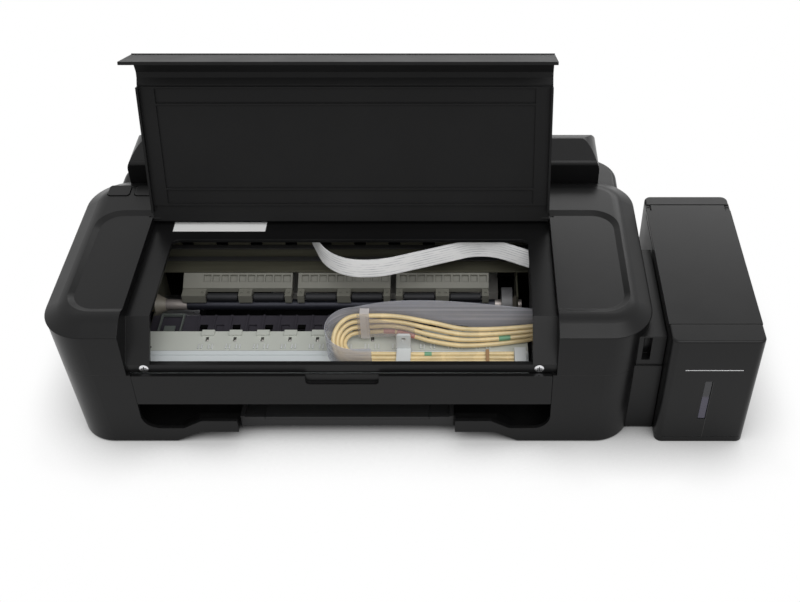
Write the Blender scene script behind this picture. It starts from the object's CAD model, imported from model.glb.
import math

import bmesh
import bpy
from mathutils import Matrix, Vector


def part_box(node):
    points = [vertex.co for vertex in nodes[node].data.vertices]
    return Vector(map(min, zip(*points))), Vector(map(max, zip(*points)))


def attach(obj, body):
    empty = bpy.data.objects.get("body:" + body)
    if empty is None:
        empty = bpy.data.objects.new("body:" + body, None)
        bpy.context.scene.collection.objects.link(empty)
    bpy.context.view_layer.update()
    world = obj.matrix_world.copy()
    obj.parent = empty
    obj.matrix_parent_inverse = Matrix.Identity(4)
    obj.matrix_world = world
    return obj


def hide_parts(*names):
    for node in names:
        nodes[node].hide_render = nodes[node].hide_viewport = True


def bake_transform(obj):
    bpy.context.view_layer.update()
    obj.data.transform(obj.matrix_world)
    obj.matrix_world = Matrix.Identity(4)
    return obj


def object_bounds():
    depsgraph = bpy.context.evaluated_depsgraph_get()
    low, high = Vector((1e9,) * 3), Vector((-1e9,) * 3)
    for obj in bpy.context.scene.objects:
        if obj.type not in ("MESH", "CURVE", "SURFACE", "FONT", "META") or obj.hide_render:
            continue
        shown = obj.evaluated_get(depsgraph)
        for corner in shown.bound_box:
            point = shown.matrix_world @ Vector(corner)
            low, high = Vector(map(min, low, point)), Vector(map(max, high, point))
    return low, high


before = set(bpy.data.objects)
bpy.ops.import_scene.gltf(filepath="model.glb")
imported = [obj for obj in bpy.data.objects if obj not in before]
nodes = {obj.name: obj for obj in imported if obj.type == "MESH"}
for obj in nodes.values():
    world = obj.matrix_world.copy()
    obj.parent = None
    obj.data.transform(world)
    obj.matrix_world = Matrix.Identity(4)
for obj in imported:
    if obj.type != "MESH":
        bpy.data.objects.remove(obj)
cad_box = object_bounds()


# Places taken from the frame, in millimetres

MM = 0.001


def spans(name):
    """A node's reach along X, Y and Z."""
    low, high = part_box(name)
    return [(a / MM, b / MM) for a, b in zip(low, high)]


BACK = cad_box[1][1] / MM
MID = sum(spans("top_cover")[0]) / 2
PLATEN_TOP = spans("platen")[2][1]
PLATEN_LEFT = spans("platen")[0][0]
PLATEN_Y = spans("platen")[1]
RAIL_X = spans("eject_frame")[0]
RAIL_FRONT = spans("eject_frame")[1][0]
RAIL_STEP = RAIL_FRONT + 20.5
CLIP_X, CLIP_Y, CLIP_Z = spans("tube_clips")
RAIL_TOP = CLIP_Z[0]


# Material nodes

WHITE = (1.0, 1.0, 1.0, 1.0)


def new_material(name):
    """A material with a Principled shader: the material, its tree and the shader."""
    mat = bpy.data.materials.new(name)
    mat.use_nodes = True
    tree = mat.node_tree
    tree.nodes.clear()
    shader = tree.nodes.new("ShaderNodeBsdfPrincipled")
    output = tree.nodes.new("ShaderNodeOutputMaterial")
    tree.links.new(shader.outputs["BSDF"], output.inputs["Surface"])
    return mat, tree, shader


def add(tree, kind, inputs=None, **settings):
    """A node with its settings and the values of its inputs."""
    node = tree.nodes.new(kind)
    for key, value in settings.items():
        setattr(node, key, value)
    for key, value in (inputs or {}).items():
        node.inputs[key].default_value = value
    return node


def place(tree, kind="Object"):
    """A point's place: in the object's own metres, or as a share of its box where generated."""
    return add(tree, "ShaderNodeTexCoord").outputs[kind]


def part_of(tree, axis, kind="Object"):
    """One coordinate of a point's place."""
    split = add(tree, "ShaderNodeSeparateXYZ")
    tree.links.new(place(tree, kind), split.inputs["Vector"])
    return split.outputs[axis]


def maths(tree, operation, *values):
    """A Math node on sockets and plain numbers."""
    node = add(tree, "ShaderNodeMath", operation=operation)
    for entry, value in zip(node.inputs, values):
        if isinstance(value, bpy.types.NodeSocket):
            tree.links.new(value, entry)
        else:
            entry.default_value = value
    return node.outputs[0]


def noise(tree, scale, detail=3.0, rough=0.55, stretch=None):
    """Noise in the object's own metres, stretched along an axis where the material has a grain."""
    node = add(tree, "ShaderNodeTexNoise", {"Scale": scale, "Detail": detail, "Roughness": rough})
    source = place(tree)
    if stretch:
        mapping = add(tree, "ShaderNodeMapping", {"Scale": stretch})
        tree.links.new(source, mapping.inputs["Vector"])
        source = mapping.outputs["Vector"]
    tree.links.new(source, node.inputs["Vector"])
    return node.outputs["Fac"]


def spread(tree, value, low, high, start=0.3, end=0.7):
    """A value between start and end, stretched to run from low to high."""
    ends = {"From Min": start, "From Max": end, "To Min": low, "To Max": high}
    node = add(tree, "ShaderNodeMapRange", ends)
    tree.links.new(value, node.inputs["Value"])
    return node.outputs["Result"]


def two_tone(tree, value, first, second, start=0.3, end=0.7):
    """A colour ramp between two colours along a value."""
    ramp = add(tree, "ShaderNodeValToRGB")
    for element, position, colour in zip(ramp.color_ramp.elements, (start, end), (first, second)):
        element.position = position
        element.color = (*colour, 1.0)
    tree.links.new(value, ramp.inputs["Fac"])
    return ramp.outputs["Color"]


def rounded_bump(tree, shader, height, strength, distance, radius=0.0):
    """Fine relief over edges that read as rounded by the given radius."""
    bump = add(tree, "ShaderNodeBump", {"Strength": strength, "Distance": distance})
    tree.links.new(height, bump.inputs["Height"])
    if radius:
        bevel = add(tree, "ShaderNodeBevel", {"Radius": radius}, samples=4)
        tree.links.new(bevel.outputs["Normal"], bump.inputs["Normal"])
    tree.links.new(bump.outputs["Normal"], shader.inputs["Normal"])


def shaded(colour, factor):
    """A colour made darker or lighter, never past white."""
    return tuple(min(1.0, c * factor) for c in colour)


# Kinds of material


def moulded(name, colour, rough, tone=0.25, grain=2600.0, relief=0.12, edge=0.0005, gloss=0.5, coat=0.0):
    """Moulded plastic or rubber: slow colour drift, uneven gloss and a fine grain."""
    mat, tree, shader = new_material(name)
    drift = noise(tree, scale=14.0, detail=4.0)
    tree.links.new(two_tone(tree, drift, shaded(colour, 1 - tone), shaded(colour, 1 + tone)),
                   shader.inputs["Base Color"])
    smear = noise(tree, scale=38.0, detail=5.0, rough=0.6)
    tree.links.new(spread(tree, smear, rough - 0.025, rough + 0.035), shader.inputs["Roughness"])
    shader.inputs["Specular IOR Level"].default_value = gloss
    if coat:
        shader.inputs["Coat Weight"].default_value = coat
        shader.inputs["Coat Roughness"].default_value = 0.25
    rounded_bump(tree, shader, noise(tree, grain, detail=2.0), relief, distance=0.00006, radius=edge)
    return mat


def brushed(name, colour, rough, stretch, edge=0.0003, metal=1.0):
    """Rolled, turned or painted steel with fine lines along one direction."""
    mat, tree, shader = new_material(name)
    lines = noise(tree, scale=900.0, detail=4.0, rough=0.6, stretch=stretch)
    tree.links.new(two_tone(tree, lines, shaded(colour, 0.75), colour), shader.inputs["Base Color"])
    tree.links.new(spread(tree, lines, rough - 0.07, rough + 0.1), shader.inputs["Roughness"])
    shader.inputs["Metallic"].default_value = metal
    rounded_bump(tree, shader, lines, strength=0.1, distance=0.00003, radius=edge)
    return mat


def clear(name, colour, rough, alpha, tone=0.1, relief=0.05, stretch=None):
    """See-through plastic with a haze that varies a little, in streaks where it is stretched."""
    mat, tree, shader = new_material(name)
    haze = noise(tree, scale=60.0, detail=4.0, stretch=stretch)
    tree.links.new(two_tone(tree, haze, colour, shaded(colour, 1 + tone)), shader.inputs["Base Color"])
    tree.links.new(spread(tree, haze, rough - 0.05, rough + 0.1), shader.inputs["Roughness"])
    tree.links.new(spread(tree, haze, alpha - 0.04, alpha + 0.04), shader.inputs["Alpha"])
    rounded_bump(tree, shader, haze, relief, distance=0.0002)
    return mat


def striped(name, colour, line, pitch, rough=0.4):
    """A flat cable: faint conductor lines along its length, broken by wear."""
    mat, tree, shader = new_material(name)
    wave = maths(tree, "SINE", maths(tree, "MULTIPLY", part_of(tree, "Z"), 2 * math.pi / pitch))
    wear = noise(tree, scale=70.0, rough=0.6, stretch=(1, 1, 3))
    crests = spread(tree, wave, 0.0, 1.0, start=0.2, end=0.9)
    whole = spread(tree, wear, 0.0, 1.0, start=0.42, end=0.62)
    lines = maths(tree, "MULTIPLY", crests, whole)
    tree.links.new(two_tone(tree, lines, colour, line, start=0.0, end=1.0), shader.inputs["Base Color"])
    shader.inputs["Roughness"].default_value = rough
    shader.inputs["Emission Color"].default_value = WHITE
    shader.inputs["Emission Strength"].default_value = 0.06
    rounded_bump(tree, shader, wave, strength=0.04, distance=0.00005)
    return mat


def coated(name, steel, rubber, rough, start, end):
    """A steel shaft that carries a dark coat between two shares of its length."""
    mat, tree, shader = new_material(name)
    ramp = add(tree, "ShaderNodeValToRGB")
    ramp.color_ramp.interpolation = "CONSTANT"
    ramp.color_ramp.elements[0].color = (*steel, 1.0)
    ramp.color_ramp.elements[1].position = end
    ramp.color_ramp.elements[1].color = (*steel, 1.0)
    ramp.color_ramp.elements.new(start).color = (*rubber, 1.0)
    tree.links.new(part_of(tree, "X", "Generated"), ramp.inputs["Fac"])
    tree.links.new(ramp.outputs["Color"], shader.inputs["Base Color"])
    grain = noise(tree, scale=1400.0, rough=0.6, stretch=(0.3, 1, 1))
    tree.links.new(spread(tree, grain, rough - 0.08, rough + 0.1), shader.inputs["Roughness"])
    shader.inputs["Metallic"].default_value = 0.55
    rounded_bump(tree, shader, grain, strength=0.15, distance=0.00004, radius=0.0003)
    return mat


def stepped(name, front, back, edge_y, rough, blur=0.0002):
    """A rail whose front strip is paler than the strip behind a line along it."""
    mat, tree, shader = new_material(name)
    behind = spread(tree, part_of(tree, "Y"), 0.0, 1.0, start=edge_y - blur, end=edge_y + blur)
    tree.links.new(two_tone(tree, behind, front, back, start=0.0, end=1.0), shader.inputs["Base Color"])
    smear = noise(tree, scale=38.0, detail=5.0, rough=0.6)
    tree.links.new(spread(tree, smear, rough - 0.03, rough + 0.05), shader.inputs["Roughness"])
    grain = noise(tree, scale=2600.0, detail=2.0)
    rounded_bump(tree, shader, grain, strength=0.12, distance=0.00006, radius=0.0005)
    return mat


def level_window(name, above, below, level):
    """A smoked window: clear grey above the ink's level, tinted below it."""
    mat, tree, shader = new_material(name)
    height = part_of(tree, "Z", "Generated")
    tree.links.new(two_tone(tree, height, below, above, *level), shader.inputs["Base Color"])
    haze = noise(tree, scale=90.0, detail=4.0)
    tree.links.new(spread(tree, haze, 0.18, 0.34), shader.inputs["Roughness"])
    rounded_bump(tree, shader, haze, strength=0.1, distance=0.0001, radius=0.0004)
    return mat


# Finishes of the CAD's material slots

finishes = {
    "case_black": moulded("case_black_fine", (0.0065, 0.0065, 0.0067), 0.30, tone=0.12, relief=0.05,
                          edge=0.0006, gloss=0.20),
    "cover_black": moulded("cover_black_fine", (0.0085, 0.0085, 0.0087), 0.44, tone=0.16, gloss=0.15),
    "tray_black": moulded("tray_black_fine", (0.009, 0.009, 0.0093), 0.5, tone=0.12, gloss=0.36),
    "screw_steel": brushed("screw_steel_fine", (0.86, 0.86, 0.88), 0.2, (1, 1, 1)),
    "foot_rubber": moulded("foot_rubber_fine", (0.02, 0.02, 0.02), 0.8, tone=0.2, grain=1500.0, relief=0.3),
    "frame_steel": brushed("frame_steel_fine", (0.105, 0.102, 0.074), 0.45, (0.02, 1, 1), metal=0.3),
    "roller_steel": brushed("roller_steel_fine", (0.42, 0.40, 0.38), 0.3, (0.04, 1, 1)),
    "bush_plastic": moulded("bush_plastic_fine", (0.22, 0.20, 0.165), 0.45, tone=0.15),
    "platen_grey": moulded("platen_grey_fine", (0.034, 0.031, 0.040), 0.50, tone=0.35, gloss=0.4),
    "white_plastic": moulded("white_plastic_fine", (0.66, 0.68, 0.675), 0.40, tone=0.06),
    "guide_beige": moulded("guide_beige_fine", (0.165, 0.163, 0.138), 0.5, tone=0.12),
    "roller_rubber": moulded("roller_rubber_fine", (0.014, 0.0145, 0.017), 0.6, tone=0.2, grain=1800.0,
                             relief=0.3, gloss=0.35),
    "motor_metal": brushed("motor_metal_fine", (0.5, 0.5, 0.52), 0.32, (0.1, 1, 1)),
    "brass": brushed("brass_fine", (0.72, 0.55, 0.26), 0.3, (1, 1, 0.1)),
    "belt_rubber": moulded("belt_rubber_fine", (0.02, 0.02, 0.02), 0.75, tone=0.2),
    "strip_film": clear("strip_film_fine", (0.35, 0.34, 0.30), 0.25, alpha=0.6),
    "cable_white": striped("cable_white_fine", (0.93, 0.93, 0.925), (0.56, 0.57, 0.59), pitch=0.0019),
    "tube_cream": clear("tube_cream_fine", (0.76, 0.61, 0.34), 0.22, alpha=0.90, tone=0.25),
    "film_clear": clear("film_clear_fine", (0.50, 0.51, 0.57), 0.22, alpha=0.43, tone=0.40, relief=0.02,
                        stretch=(0.1, 1, 8)),
    "carriage_black": moulded("carriage_black_fine", (0.016, 0.016, 0.017), 0.5, tone=0.15),
    "head_metal": brushed("head_metal_fine", (0.6, 0.6, 0.62), 0.35, (1, 0.1, 1)),
    "seal_rubber": moulded("seal_rubber_fine", (0.03, 0.03, 0.03), 0.75, tone=0.2),
    "pad_felt": moulded("pad_felt_fine", (0.62, 0.60, 0.56), 0.95, tone=0.15, grain=700.0, relief=0.8),
    "supply_case": moulded("supply_case_fine", (0.03, 0.03, 0.032), 0.55, tone=0.15),
    "board_green": moulded("board_green_fine", (0.02, 0.12, 0.05), 0.4, coat=0.4),
    "window_clear": level_window("window_clear_fine", (0.022, 0.022, 0.026), (0.060, 0.055, 0.085),
                                 level=(0.55, 0.62)),
    "tank_clear": clear("tank_clear_fine", (0.6, 0.62, 0.64), 0.3, alpha=0.7),
    "cap_black": moulded("cap_black_fine", (0.015, 0.015, 0.016), 0.6, tone=0.15),
    "cap_cyan": moulded("cap_cyan_fine", (0.01, 0.22, 0.5), 0.55, tone=0.12),
    "cap_magenta": moulded("cap_magenta_fine", (0.45, 0.02, 0.13), 0.55, tone=0.12),
    "cap_yellow": moulded("cap_yellow_fine", (0.7, 0.5, 0.03), 0.55, tone=0.12),
    "gear_plastic": moulded("gear_plastic_fine", (0.30, 0.29, 0.25), 0.5, tone=0.1),
    "wheel_grey": moulded("wheel_grey_fine", (0.12, 0.12, 0.125), 0.4, tone=0.12),
}
for node in nodes.values():
    for slot in node.material_slots:
        slot.material = finishes[slot.material.name.split(".")[0]]
nodes["feed_roller"].material_slots[0].material = coated(
    "roller_coat_fine", (0.42, 0.38, 0.36), (0.020, 0.021, 0.030), 0.42, start=0.16, end=0.93)
nodes["eject_frame"].material_slots[0].material = stepped(
    "rail_white_fine", (0.70, 0.745, 0.755), (0.56, 0.58, 0.53), RAIL_STEP * MM, 0.40)

# Finishes of the scene's own small pieces

plate_white = moulded("plate_white_fine", (0.88, 0.88, 0.87), 0.45, tone=0.03)
line_silver = brushed("line_silver_fine", (0.62, 0.62, 0.63), 0.3, (0.05, 1, 1))
recess_dark = moulded("recess_dark_fine", (0.012, 0.012, 0.012), 0.6, tone=0.2)
foam_dark = moulded("foam_dark_fine", (0.002, 0.002, 0.002), 0.9, tone=0.3, grain=900.0, relief=0.5,
                    gloss=0.05)
tray_green = moulded("tray_green_fine", (0.12, 0.135, 0.125), 0.4, tone=0.2)
seam_grey = moulded("seam_grey_fine", (0.36, 0.37, 0.37), 0.5, tone=0.1)
tape_pink = clear("tape_pink_fine", (0.62, 0.26, 0.24), 0.4, alpha=0.75)
mark_green = moulded("mark_green_fine", (0.16, 0.36, 0.22), 0.5, tone=0.15)
tie_brown = moulded("tie_brown_fine", (0.36, 0.21, 0.10), 0.5, tone=0.15)
strap_milky = clear("strap_milky_fine", (0.80, 0.76, 0.75), 0.35, alpha=0.45)
veil_milky = clear("veil_milky_fine", (0.62, 0.57, 0.57), 0.3, alpha=0.22)


# Mesh shapes, as points and faces


def skin(rings, sides):
    """Faces over a row of rings of points, closed at both ends."""
    faces = []
    for n in range(rings - 1):
        for k in range(sides):
            a = n * sides + k
            b = n * sides + (k + 1) % sides
            faces.append((a, b, b + sides, a + sides))
    last = (rings - 1) * sides
    faces.append(tuple(range(sides)))
    faces.append(tuple(range(last + sides - 1, last - 1, -1)))
    return faces


def heading(path, n):
    """The way a path runs at one of its points."""
    return path[min(n + 1, len(path) - 1)] - path[max(n - 1, 0)]


def tube(path, radius, sides=14):
    """A closed round tube along a path that is never upright."""
    points = []
    path = [Vector(p) for p in path]
    up = Vector((0, 0, 1))
    for n, spot in enumerate(path):
        ahead = heading(path, n)
        across = ahead.cross(up).normalized()
        rise = across.cross(ahead).normalized()
        for k in range(sides):
            turn = 2 * math.pi * k / sides
            points.append(spot + radius * (math.cos(turn) * across + math.sin(turn) * rise))
    return points, skin(len(path), sides)


def band(path, low, high, thick, lean=0.0):
    """A strip along a flat path, between a low and a high edge with a height for each point. The high edge
    leans over by a share of the strip's height."""
    points = []
    path = [Vector(p) for p in path]
    for n, spot in enumerate(path):
        ahead = heading(path, n)
        side = Vector((-ahead.y, ahead.x)).normalized() * thick / 2
        over = lean * (high[n] - low[n])
        corners = ((1, 0, low[n]), (1, over, high[n]), (-1, over, high[n]), (-1, 0, low[n]))
        for way, shift, level in corners:
            points.append((spot.x + way * side.x, spot.y + way * side.y + shift, level))
    return points, skin(len(path), len(corners))


def box(xs, ys, zs):
    """A block between two corners."""
    points = [(x, y, z) for x in xs for y in ys for z in zs]
    return points, [(0, 1, 3, 2), (4, 6, 7, 5), (0, 4, 5, 1), (2, 3, 7, 6), (0, 2, 6, 4), (1, 5, 7, 3)]


def disc(x, y, zs, radius, sides=16):
    """A flat round block."""
    turns = [2 * math.pi * k / sides for k in range(sides)]
    points = [(x + radius * math.cos(turn), y + radius * math.sin(turn), z) for z in zs for turn in turns]
    return points, skin(len(zs), sides)


def lining(xs, ys, zs, wall):
    """Four blocks round an opening that is seen along Y."""
    inner = (xs[0] + wall, xs[1] - wall)
    return [box((xs[0], inner[0]), ys, zs), box((inner[1], xs[1]), ys, zs),
            box(inner, ys, (zs[0], zs[0] + wall)), box(inner, ys, (zs[1] - wall, zs[1]))]


def join(shapes):
    """Several shapes as one."""
    points = []
    faces = []
    for some, ring in shapes:
        shift = len(points)
        points += list(some)
        faces += [tuple(i + shift for i in face) for face in ring]
    return points, faces


# Spans and lines


def past(place, *steps):
    """Places at the given steps past a place."""
    return tuple(place + step for step in steps)


def lifted(place, line):
    """The marks of a line whose values are told from a place."""
    return [(t, place + value) for t, value in line]


def about(middle, half):
    """A span round a middle."""
    return middle - half, middle + half


def between(span, t):
    """The place at a share of the way from one end of a span to the other."""
    return span[0] + (span[1] - span[0]) * t


def along(line, t):
    """The value at a place of a smooth line through (place, value) marks."""
    slopes = []
    for n in range(len(line)):
        before = line[max(n - 1, 0)]
        after = line[min(n + 1, len(line) - 1)]
        slopes.append((after[1] - before[1]) / (after[0] - before[0]))
    n = next(k for k in range(len(line) - 1) if t <= line[k + 1][0] + 1e-9)
    (a, first), (b, second) = line[n], line[n + 1]
    s = (t - a) / (b - a)
    ease = s * s * (3 - 2 * s)
    bend = (b - a) * (slopes[n] * s * (1 - s) ** 2 - slopes[n + 1] * s * s * (1 - s))
    return first + (second - first) * ease + bend


# Pieces

CREASE = math.radians(50)


def new_piece(name, shape, mat, smooth=True):
    """A mesh from a shape in millimetres, in the part's frame."""
    points, faces = shape
    mesh = bpy.data.meshes.new(name)
    mesh.from_pydata([tuple(c * MM for c in p) for p in points], [], faces)
    mesh.materials.append(mat)
    work = bmesh.new()
    work.from_mesh(mesh)
    bmesh.ops.recalc_face_normals(work, faces=work.faces)
    work.to_mesh(mesh)
    work.free()
    if smooth:
        mesh.shade_smooth()
        mesh.set_sharp_from_angle(angle=CREASE)
    piece = bpy.data.objects.new(name, mesh)
    bpy.context.scene.collection.objects.link(piece)
    return piece


def bound(name, shapes, mat, body):
    """A small fixed piece that moves with one body."""
    piece = new_piece(name, join(shapes), mat, smooth=False)
    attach(piece, body)


def follow(piece):
    """Bend a piece between the case and the carriage, from one point to another."""
    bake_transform(piece)


# Ink tubes in three lengths: along the front, round the loop, and back to the carriage

STEPS = 40
TUBES = 4
LAST = TUBES - 1
TUBE_R = 1.6
TUBE_PITCH = 4.0
TUBES_Y = spans("ink_tubes")[1]
FIRST_Y = TUBES_Y[0] + TUBE_R
BACK_Y = TUBES_Y[1] - TUBE_R
BACK_X = spans("ink_tubes")[0][1]
FRONT_X = CLIP_X[1] - 8.3
FRONT_Z = RAIL_TOP + 2.6
SWAY = 0.5
SWAY_TURN = 3.1
LOOP_X = MID + 9.0
LOOP_WIDE = 1.15
FRONT_RUN = (FRONT_X, LOOP_X)
BACK_RUN = (LOOP_X, BACK_X)

# Where the uppermost and the lowest tube run on the way back, against the share of the way.
UPPER_Y = lifted(BACK_Y, [(0, 0), (0.2, 0), (0.39, -0.5), (0.58, -1), (0.91, 0), (1, 0)])
UPPER_Z = lifted(RAIL_TOP, [(0, 23), (0.2, 22.5), (0.39, 17), (0.58, 11), (0.91, 12.4), (1, 16.4)])
LOWER_Y = lifted(BACK_Y, [(0, 0), (0.2, -1), (0.39, -7), (0.58, -10), (0.91, -3), (1, 0)])
LOWER_Z = lifted(RAIL_TOP, [(0, 6.5), (0.2, 8.5), (0.39, 5), (0.58, 3.6), (0.91, 2.2), (1, 4.4)])


def front_y(n):
    """A tube's place across the front."""
    return FIRST_Y + TUBE_PITCH * n


def front_point(n, t):
    """A place on a tube's front length, which sways a little between its ends."""
    sway = SWAY * math.sin(math.pi * t) * math.sin(SWAY_TURN * t + n)
    return between(FRONT_RUN, t), front_y(n) + sway, FRONT_Z


def back_point(n, t):
    """A place on a tube's way back, between the uppermost and the lowest tube."""
    share = n / LAST
    y = between((along(UPPER_Y, t), along(LOWER_Y, t)), share)
    z = between((along(UPPER_Z, t), along(LOWER_Z, t)), share)
    return between(BACK_RUN, t), y, z


def loop_point(n, t):
    """A place on a tube's half turn, which rises to meet the way back."""
    turn = math.pi * t
    reach = (BACK_Y - front_y(n)) / 2
    rise = (1 - math.cos(turn)) / 2
    return (LOOP_X - LOOP_WIDE * reach * math.sin(turn), BACK_Y - reach - reach * math.cos(turn),
            between((FRONT_Z, back_point(n, 0)[2]), rise))


def stretch(point, n, first=0.0, last=1.0, steps=STEPS):
    """Points along part of one tube."""
    return [point(n, between((first, last), k / steps)) for k in range(steps + 1)]


def sleeve(point, run, n, xs, more):
    """A short sleeve round one tube, between two places along X."""
    first, last = [(x - run[0]) / (run[1] - run[0]) for x in xs]
    return tube(stretch(point, n, first, last, steps=6), TUBE_R + more)


def on_front(piece):
    """Bend a piece on the front length: still at the start, half the carriage's way at the loop."""
    follow(piece)


def on_loop(piece):
    """Carry a piece of the loop by half the carriage's way."""
    follow(piece)


def on_back(piece, start_x=LOOP_X):
    """Bend a piece on the way back: half the carriage's way at the loop, all of it at the carriage."""
    follow(piece)


for name, point, carry in (("tubes_front", front_point, on_front), ("tubes_loop", loop_point, on_loop),
                           ("tubes_back", back_point, on_back)):
    lengths = [tube(stretch(point, n), TUBE_R) for n in range(TUBES)]
    piece = new_piece(name, join(lengths), finishes["tube_cream"])
    carry(piece)
    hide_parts("ink_tubes")

# Tapes, marks, the clip's foot and a tie on the tubes

TAPES_X = (past(LOOP_X, 17.5, 25.5), past(LOOP_X, 27.0, 39.5))
TAPE_T = 0.3
MARK_BACK_X = past(LOOP_X, 98.5, 106.5)
MARK_FRONT_X = past(LOOP_X, 51.5, 46.5)
MARK_T = 0.15
tapes = [sleeve(back_point, BACK_RUN, LAST, xs, TAPE_T) for xs in TAPES_X]
mark_back = sleeve(back_point, BACK_RUN, LAST - 1, MARK_BACK_X, MARK_T)
mark_front = sleeve(front_point, FRONT_RUN, LAST, MARK_FRONT_X, MARK_T)
on_back(new_piece("tube_tapes", join(tapes), tape_pink))
on_back(new_piece("tube_mark_back", mark_back, mark_green))
on_front(new_piece("tube_mark_front", mark_front, mark_green))

CLIP_WIDE = 10.0
CLIP_T = 2.0
FOOT_Z = RAIL_TOP + 4.9
FOOT_T = 0.6
foot_x = (CLIP_X[0], CLIP_X[0] + CLIP_WIDE)
foot = [box(foot_x, (RAIL_FRONT, CLIP_Y[1] - CLIP_T), (FOOT_Z, FOOT_Z + FOOT_T)),
        box(foot_x, (RAIL_FRONT, RAIL_FRONT + FOOT_T), (RAIL_TOP, FOOT_Z))]
bound("clip_foot", foot, finishes["white_plastic"], "base")

TIE_X = past(FRONT_X, -19.7, -17.2)
TIE_OUT = 2.2
TIE_Y = (front_y(0) - TIE_OUT, front_y(LAST) + TIE_OUT)
TIE_LOW = RAIL_TOP + 0.2
TIE_Z = FRONT_Z + 1.8
TIE_T = 0.4
tie = [box(TIE_X, TIE_Y, (TIE_Z, TIE_Z + TIE_T)),
       box(TIE_X, (TIE_Y[1] - TIE_T, TIE_Y[1]), (TIE_LOW, TIE_Z))]
on_front(new_piece("tube_tie", join(tie), tie_brown, smooth=False))

# Clear film round the tubes, in the same three lengths, with a strap and a veil

FILM_T = 0.4
FILM_SPAN_X, FILM_SPAN_Y = spans("tube_guide_film")[:2]
FILM_R = (FILM_SPAN_Y[1] - FILM_SPAN_Y[0] - FILM_T) / 2
FILM_X = FILM_SPAN_X[0] + FILM_R + FILM_T / 2
FILM_Y = sum(FILM_SPAN_Y) / 2
FILM_END = FILM_X + 15.0
FILM_HIGH = lifted(
    RAIL_TOP, [(0, 27.5), (0.17, 32.6), (0.34, 34), (0.52, 33), (0.72, 30), (0.92, 26.4), (1, 26)])
FILM_LOW = lifted(
    RAIL_TOP, [(0, 6), (0.17, 10), (0.34, 14.5), (0.52, 11), (0.72, 6.3), (0.92, 2.2), (1, 2)])
LOOP_HIGH = lifted(RAIL_TOP, [(0, 27.5), (0.5, 26), (1, 22)])
LOOP_LOW = lifted(RAIL_TOP, [(0, 6), (0.5, 4), (1, 1.8)])
END_HIGH = lifted(LOOP_HIGH[-1][1], [(0, 0), (1, 0)])
END_LOW = lifted(LOOP_LOW[-1][1], [(0, 0), (1, 0)])
shares = [k / STEPS for k in range(STEPS + 1)]


def film_length(name, path, low, high):
    """One length of the film, between two smooth edges."""
    shape = band(path, [along(low, t) for t in shares], [along(high, t) for t in shares], FILM_T)
    return new_piece(name, shape, finishes["film_clear"])


back_path = [(between((FILM_X, BACK_X), t), FILM_Y + FILM_R) for t in shares]
loop_path = [(FILM_X - FILM_R * math.sin(math.pi * t), FILM_Y + FILM_R * math.cos(math.pi * t))
             for t in shares]
end_path = [(between((FILM_X, FILM_END), t), FILM_Y - FILM_R) for t in shares]
film_back = film_length("film_back", back_path, FILM_LOW, FILM_HIGH)
film_loop = film_length("film_loop", loop_path, LOOP_LOW, LOOP_HIGH)
film_front = film_length("film_front", end_path, END_LOW, END_HIGH)
on_back(film_back, FILM_X)
on_loop(film_loop)
on_loop(film_front)
for piece in (film_back, film_loop, film_front):
    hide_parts("tube_guide_film")

STRAP_X = past(FILM_X, 5.5, 12.0)
STRAP_Y = past(BACK_Y, -3.2, 2.8)
STRAP_Z = past(RAIL_TOP, 4.0, 27.4)
STRAP_T = 0.3
strap_face = STRAP_Y[0] + STRAP_T
strap = [box(STRAP_X, (STRAP_Y[0], strap_face), STRAP_Z),
         box(STRAP_X, (strap_face, STRAP_Y[1]), (STRAP_Z[1] - STRAP_T, STRAP_Z[1]))]
on_loop(new_piece("film_strap", join(strap), strap_milky, smooth=False))

VEIL_X = past(LOOP_X, -0.5, 39.5)
VEIL_Y = past(BACK_Y, -2.5, -6.5)
VEIL_LOW = past(RAIL_TOP, 4.5, 10.0)
VEIL_HIGH = past(RAIL_TOP, 26.5, 18.0)
VEIL_T = 0.2
veil_path = [(between(VEIL_X, t), between(VEIL_Y, t)) for t in shares]
veil_low, veil_high = [[between(edge, t) for t in shares] for edge in (VEIL_LOW, VEIL_HIGH)]
veil = band(veil_path, veil_low, veil_high, VEIL_T)
on_back(new_piece("film_veil", veil, veil_milky))


# Flat cable in its wave, from the back plate to the carriage

CABLE_TURNS = ((-31.0, 17.6), (-14.5, -20.0), (22.5, -20.0), (98.5, 6.5), (130.7, -9.5))
CABLE = [(MID + x, y) for x, y in CABLE_TURNS]
CABLE_BENDS = [36.0, 70.0, 40.0]
CABLE_Z = spans("head_cable")[2]
CABLE_T = 0.4
CABLE_LEAN = 0.2


def bent_path(route, bends, steps=14):
    """Points along straight lengths joined by round bends."""
    route = [Vector(p) for p in route]
    path = [route[0]]
    for before, corner, after, radius in zip(route, route[1:], route[2:], bends):
        come = (before - corner).normalized()
        leave = (after - corner).normalized()
        half = come.angle(leave) / 2
        centre = corner + (come + leave).normalized() * radius / math.sin(half)
        first = corner + come * radius / math.tan(half) - centre
        swing = -first.angle_signed(corner + leave * radius / math.tan(half) - centre)
        for k in range(steps + 1):
            turn = swing * k / steps
            path.append(centre + Vector((first.x * math.cos(turn) - first.y * math.sin(turn),
                                         first.x * math.sin(turn) + first.y * math.cos(turn))))
    path.append(route[-1])
    return path


cable_path = bent_path(CABLE, CABLE_BENDS)
cable_low, cable_high = [[z] * len(cable_path) for z in CABLE_Z]
cable = band(cable_path, cable_low, cable_high, CABLE_T, CABLE_LEAN)
flat_cable = new_piece("flat_cable", cable, finishes["cable_white"])
follow(flat_cable)
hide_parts("head_cable")


# Small fixed pieces

# How far trim reaches into the surface behind it.
SINK = 0.1

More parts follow.
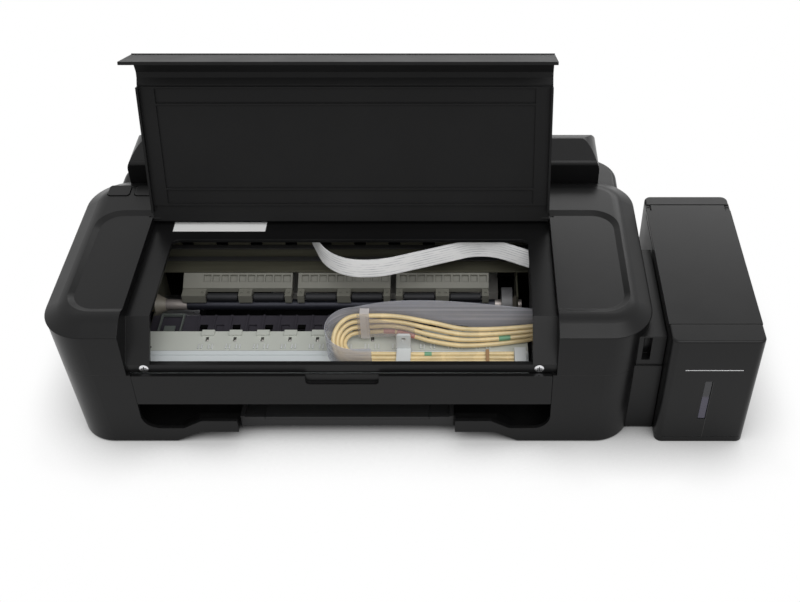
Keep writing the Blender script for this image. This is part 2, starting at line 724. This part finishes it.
# Blank plate on the ledge.
LEDGE_Z = spans("upper_case")[2][1] - 9.0
PLATE_X = past(MID, -131.3, -63.2)
PLATE_Y = past(BACK, -102.0, -91.0)
PLATE_T = 0.15
bound("blank_plate", [box(PLATE_X, PLATE_Y, (LEDGE_Z, LEDGE_Z + PLATE_T))], plate_white, "base")

# Trim line and window seam on the front of the tank unit.
TANK_X, TANK_Y, TANK_Z = spans("tank_case")
WINDOW = spans("tank_window")
TANK_FRONT = TANK_Y[0]
TRIM_X = (TANK_X[0] + 12.1, TANK_X[1] - 11.4)
TRIM_Z = past(TANK_Z[1], -27.3, -26.7)
TRIM_T = 0.12
SEAM_X = past(WINDOW[0][1], 0.3, 0.8)
SEAM_Z = (TANK_Z[0] + 5.0, WINDOW[2][1] + 0.3)
SEAM_T = 0.06
trim_y = (TANK_FRONT - TRIM_T, TANK_FRONT + SINK)
seam_y = (TANK_FRONT - SEAM_T, TANK_FRONT + SINK)
bound("trim_line", [box(TRIM_X, trim_y, TRIM_Z)], line_silver, "tank_unit")
bound("window_seam", [box(SEAM_X, seam_y, SEAM_Z)], recess_dark, "tank_unit")

# Crossed slots of the two screws.
SCREW_FACE = spans("case_screws")[1][0]
SCREW_Z = sum(spans("case_screws")[2]) / 2
SCREW_OUT = 134.0
SLOT_LONG = 1.7
SLOT_NARROW = 0.35
SLOT_T = 0.08
slot_y = (SCREW_FACE - SLOT_T, SCREW_FACE + SINK / 2)
crosses = [box(about(x, wide), slot_y, about(SCREW_Z, tall)) for x in about(MID, SCREW_OUT)
           for wide, tall in ((SLOT_LONG, SLOT_NARROW), (SLOT_NARROW, SLOT_LONG))]
bound("screw_slots", crosses, recess_dark, "base")

# Small tray at the left end of the platen: three walls and a block.
TRAY_X = past(PLATEN_LEFT, 7.3, 24.3)
TRAY_Y = (PLATEN_Y[0] + 1.0, PLATEN_Y[1] - 1.5)
TRAY_T = 1.0
TRAY_TALL = 2.5
TRAY_BLOCK_X = past(TRAY_X[0], 4.0, 12.0)
TRAY_BLOCK_Y = past(TRAY_Y[0], 6.0, 13.0)
TRAY_BLOCK_TALL = 1.5
tray_inner = (TRAY_X[0] + TRAY_T, TRAY_X[1] - TRAY_T)
tray_z = (PLATEN_TOP, PLATEN_TOP + TRAY_TALL)
tray_shapes = [box((TRAY_X[0], tray_inner[0]), TRAY_Y, tray_z),
               box((tray_inner[1], TRAY_X[1]), TRAY_Y, tray_z),
               box(tray_inner, (TRAY_Y[1] - TRAY_T, TRAY_Y[1]), tray_z),
               box(TRAY_BLOCK_X, TRAY_BLOCK_Y, (PLATEN_TOP, PLATEN_TOP + TRAY_BLOCK_TALL))]
bound("side_tray", tray_shapes, tray_green, "base")

# Fins beside the rail's slots, and the rail's seam and hole.
FINS = 11
FIN_PITCH = 19.6
FIRST_FIN = MID - 99.6
FIN_OUT = (2.4, 4.8)
FIN_HALF = 0.45
FIN_Y = past(RAIL_STEP, 1.5, 6.0)
FIN_TALL = 0.9
RAIL_SEAM_X = (RAIL_X[0] + 2.5, RAIL_X[1] - 27.5)
RAIL_SEAM_WIDE = 0.3
RAIL_SEAM_T = 0.04
HOLE_X = RAIL_X[0] + 11.5
HOLE_Y = RAIL_STEP + 3.5
HOLE_R = 1.1
HOLE_T = 0.05
fin_xs = [FIRST_FIN + FIN_PITCH * n + side * out for n in range(FINS) for side in (-1, 1) for out in FIN_OUT]
fins = [box(about(x, FIN_HALF), FIN_Y, (RAIL_TOP - SINK, RAIL_TOP + FIN_TALL)) for x in fin_xs]
bound("rail_fins", fins, finishes["white_plastic"], "base")
seam = box(RAIL_SEAM_X, (RAIL_STEP, RAIL_STEP + RAIL_SEAM_WIDE), (RAIL_TOP - SINK, RAIL_TOP + RAIL_SEAM_T))
bound("rail_seam", [seam], seam_grey, "base")
bound("rail_hole", [disc(HOLE_X, HOLE_Y, (RAIL_TOP - SINK, RAIL_TOP + HOLE_T), HOLE_R)], recess_dark, "base")

# Dark inlays in every second well of the platen, in two rows.
INLAYS = 9
INLAY_PITCH = 24.0
FIRST_INLAY = MID - 111.2
INLAY_WIDE = 5.4
INLAY_ROWS = (past(PLATEN_Y[0], 9.3, 12.4), past(PLATEN_Y[0], 14.6, 17.7))
INLAY_TALL = 1.9
WELL_FLOOR = PLATEN_TOP - 3.0
inlay_xs = [FIRST_INLAY + INLAY_PITCH * n for n in range(INLAYS)]
inlays = [box((x, x + INLAY_WIDE), row, (WELL_FLOOR, WELL_FLOOR + INLAY_TALL))
          for x in inlay_xs for row in INLAY_ROWS]
bound("platen_pads", inlays, foam_dark, "base")

# Metal shell and dark tongue of the data port.
PORT_X = MID - 150.0
PORT_Z = spans("main_board")[2][0] + 22.5
PORT_MOUTH = spans("main_board")[1][1]
PORT_WIDE = 12.5
PORT_TALL = 11.5
PORT_WALL = 1.5
SHELL_T = 0.15
ROOM_WIDE = 9.6
ROOM_TALL = 8.6
ROOM_WALL = 0.2
ROOM_BACK = BACK - 6.1
TONGUE_END = BACK - 1.5
TONGUE_WIDE = 5.6
TONGUE_TALL = 3.2
BACKING_WIDE = 9.4
BACKING_TALL = 8.4
BACKING_T = 0.3
shell = lining(about(PORT_X, PORT_WIDE / 2), (PORT_MOUTH - SINK, PORT_MOUTH + SHELL_T),
               about(PORT_Z, PORT_TALL / 2), PORT_WALL)
shell += lining(about(PORT_X, ROOM_WIDE / 2), (ROOM_BACK + ROOM_WALL, PORT_MOUTH - SINK / 2),
                about(PORT_Z, ROOM_TALL / 2), ROOM_WALL)
bound("port_shell", shell, line_silver, "base")
tongue = [box(about(PORT_X, TONGUE_WIDE / 2), (ROOM_BACK, TONGUE_END), about(PORT_Z, TONGUE_TALL / 2)),
          box(about(PORT_X, BACKING_WIDE / 2), (ROOM_BACK, ROOM_BACK + BACKING_T),
              about(PORT_Z, BACKING_TALL / 2))]
bound("port_tongue", tongue, recess_dark, "base")


# Floor and light, in metres

FLOOR_WIDE = 12.0
FLOOR_DROP = 0.0002
FLOOR_GREY = (0.70, 0.70, 0.70, 1.0)
SHADOW_REACH = 0.055
SKY_LIGHT = 0.45
SKY_SEEN = 1.0
SUN_FROM = Vector((0.3, -0.5, 1.0))
SUN_SPREAD = 50
RIM_PLACE = Vector((0.45, 1.5, 0.95))
RIM_AIM = Vector((0.1, 0.0, 0.1))


def seen(tree):
    """One for what the camera sees, straight, in a gloss or through a clear piece; zero for light."""
    rays = add(tree, "ShaderNodeLightPath").outputs
    either = maths(tree, "MAXIMUM", rays["Is Camera Ray"], rays["Is Glossy Ray"])
    return maths(tree, "MAXIMUM", either, rays["Is Transmission Ray"])


def floor_material():
    """White where it is seen, darker close to the part, and pale grey for the light it throws back."""
    mat = bpy.data.materials.new("floor_white")
    mat.use_nodes = True
    tree = mat.node_tree
    tree.nodes.clear()
    diffuse = add(tree, "ShaderNodeBsdfDiffuse", {"Color": FLOOR_GREY})
    near = add(tree, "ShaderNodeAmbientOcclusion", {"Distance": SHADOW_REACH}, samples=16)
    glow = add(tree, "ShaderNodeEmission")
    open_air = spread(tree, near.outputs["AO"], 0.0, 1.0, start=0.15, end=0.95)
    tree.links.new(open_air, glow.inputs["Strength"])
    both = add(tree, "ShaderNodeMixShader")
    tree.links.new(seen(tree), both.inputs[0])
    tree.links.new(diffuse.outputs[0], both.inputs[1])
    tree.links.new(glow.outputs[0], both.inputs[2])
    output = add(tree, "ShaderNodeOutputMaterial")
    tree.links.new(both.outputs[0], output.inputs["Surface"])
    return mat


def lamp(name, kind, facing, **settings):
    """A lamp that shines against the given direction."""
    data = bpy.data.lights.new(name, kind)
    for key, value in settings.items():
        setattr(data, key, value)
    thing = bpy.data.objects.new(name, data)
    thing.rotation_euler = facing.to_track_quat("Z", "Y").to_euler()
    bpy.context.scene.collection.objects.link(thing)
    return thing


bpy.ops.mesh.primitive_plane_add(size=FLOOR_WIDE, location=(0, 0, cad_box[0][2] - FLOOR_DROP))
floor = bpy.context.object
floor.name = "floor"
floor.data.materials.append(floor_material())

world = bpy.data.worlds.new("studio")
bpy.context.scene.world = world
world.use_nodes = True
tree = world.node_tree
tree.nodes.clear()
sky = add(tree, "ShaderNodeBackground", {"Color": WHITE})
strength = spread(tree, seen(tree), SKY_LIGHT, SKY_SEEN, start=0.0, end=1.0)
tree.links.new(strength, sky.inputs["Strength"])
output = add(tree, "ShaderNodeOutputWorld")
tree.links.new(sky.outputs[0], output.inputs["Surface"])

lamp("softbox", "SUN", facing=SUN_FROM, energy=1.4, angle=math.radians(SUN_SPREAD))
rim = lamp("rim", "AREA", facing=RIM_PLACE - RIM_AIM, energy=5.5, shape="RECTANGLE", size=1.1, size_y=0.4)
rim.location = RIM_PLACE


# Camera at the photograph's angle, in metres and degrees

CAMERA_PLACE = (0.0419, -0.6151, 0.6044)
CAMERA_DOWN = 42.859
CAMERA_LENS = 49.18
CAMERA_SHIFT = -0.079
camera_data = bpy.data.cameras.new("camera")
camera_data.sensor_width = 36.0
camera_data.lens = CAMERA_LENS
camera_data.shift_x = CAMERA_SHIFT
camera = bpy.data.objects.new("camera", camera_data)
camera.location = CAMERA_PLACE
camera.rotation_euler = (math.radians(90 - CAMERA_DOWN), 0, 0)
bpy.context.scene.collection.objects.link(camera)
bpy.context.scene.camera = camera
bpy.context.scene.view_settings.view_transform = "Standard"
